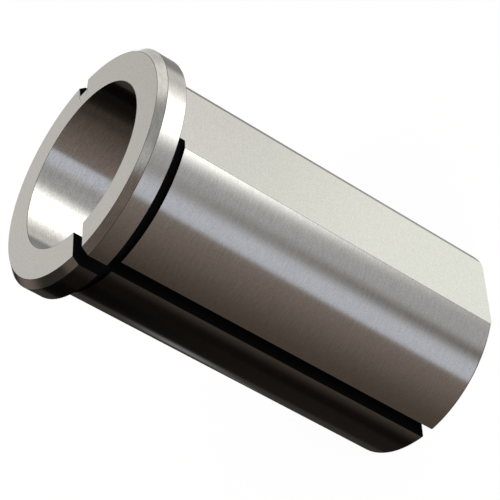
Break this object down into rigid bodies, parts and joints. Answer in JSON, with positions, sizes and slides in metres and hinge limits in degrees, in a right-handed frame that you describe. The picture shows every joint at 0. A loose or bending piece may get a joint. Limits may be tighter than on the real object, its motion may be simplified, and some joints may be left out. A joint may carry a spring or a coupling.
{
  "type": "boring bar holder sleeve",
  "caption": "Flanged split sleeve that holds a boring bar: plain bore, full-length slit, clamping flat along the shank and a chamfered flange.",
  "frame": {"origin": "centre of the back end, on the bore's axis", "axes": "+Z along the axis, up to the flange's front face; +X out of the clamping flat; the through slit is at -Y"},
  "size_m": [0.036, 0.036, 0.06],
  "materials": {
    "turned_steel": "fine turned steel, satin, with near-black slits and groove"
  },
  "bodies": {
    "root": {"split_sleeve": "turned_steel"}
  },
  "joints": []
}
